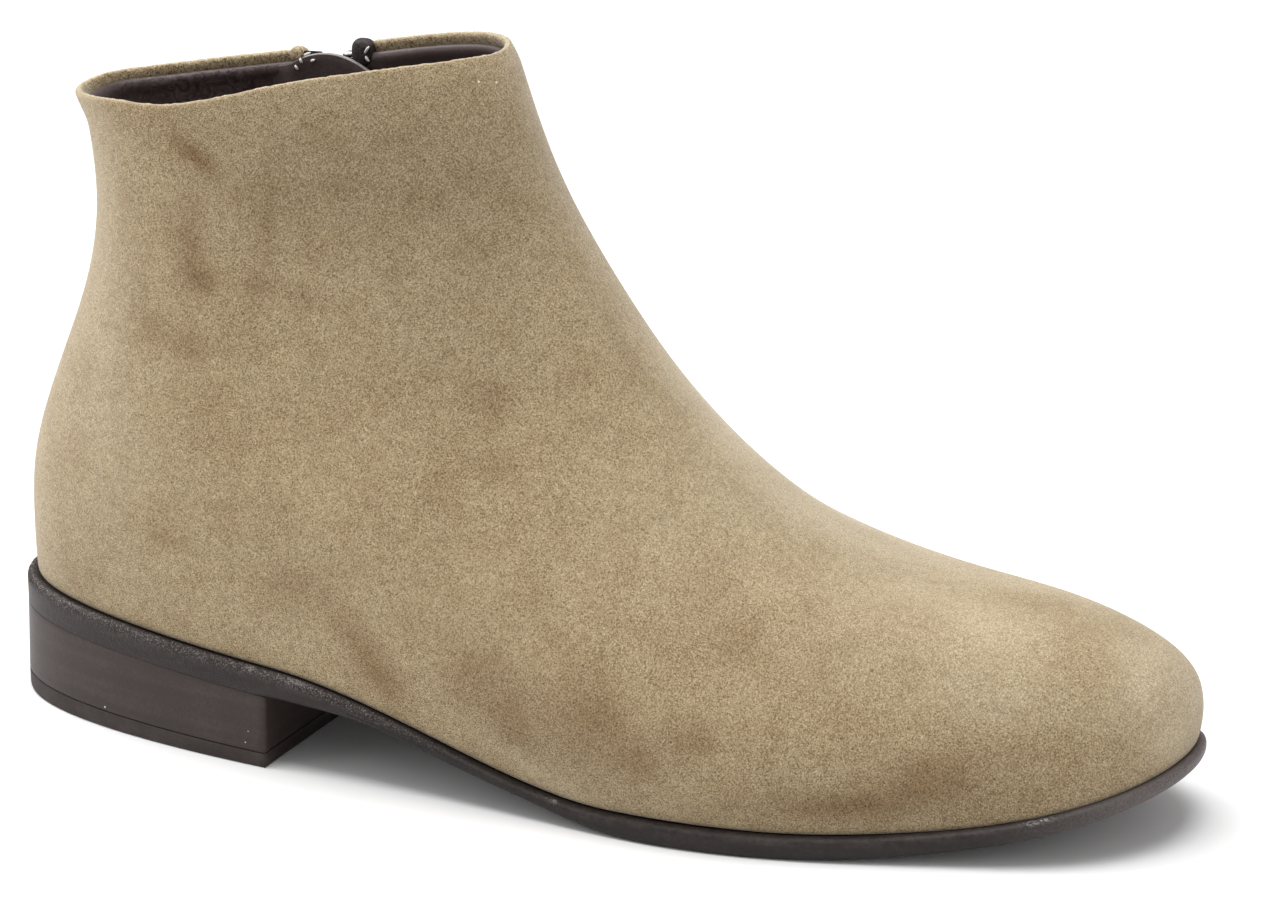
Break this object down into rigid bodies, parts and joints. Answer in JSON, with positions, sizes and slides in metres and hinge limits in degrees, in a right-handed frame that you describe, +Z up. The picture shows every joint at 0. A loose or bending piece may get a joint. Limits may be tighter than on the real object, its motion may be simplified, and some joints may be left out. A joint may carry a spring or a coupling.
{
  "type": "low heel boot",
  "caption": "Low-heeled ankle boot for the right foot: seamless suede upper on a rounded last, inside zip with a pull tab, thin dark leather sole and low stacked heel.",
  "frame": {"origin": "middle of the boot's footprint, on the floor that the heel and the ball of the sole rest on", "axes": "+X runs to the toe, +Y to the medial side with the zip, +Z up the leg"},
  "size_m": [0.26, 0.087, 0.1499],
  "materials": {
    "tan_suede": "napped suede, matte",
    "dark_sole_leather": "inked and burnished edge",
    "dark_heel_stack": "stacked and inked",
    "dark_top_lift": "matte",
    "brown_lining": "smooth lining leather",
    "black_zip_tape": "woven",
    "nickel_zip": "nickel plated"
  },
  "bodies": {
    "boot": {"upper": "tan_suede", "outsole": "dark_sole_leather", "heel_block": "dark_heel_stack", "heel_top_lift": "dark_top_lift", "insole": "brown_lining", "zip_tape_front": "black_zip_tape", "zip_tape_back": "black_zip_tape", "zip_chain": "nickel_zip", "zip_teeth_front": "nickel_zip", "zip_teeth_back": "nickel_zip", "zip_slider": "nickel_zip", "zip_guard": "brown_lining"},
    "zip_pull": {"zip_pull": "nickel_zip"}
  },
  "joints": [
    {"name": "zip_pull_hinge", "type": "hinge", "parent": "boot", "child": "zip_pull", "pos_m": [-0.06674, 0.02948, 0.1312], "axis": [1, 0.0082, 0], "range_deg": [0, 165]}
  ]
}
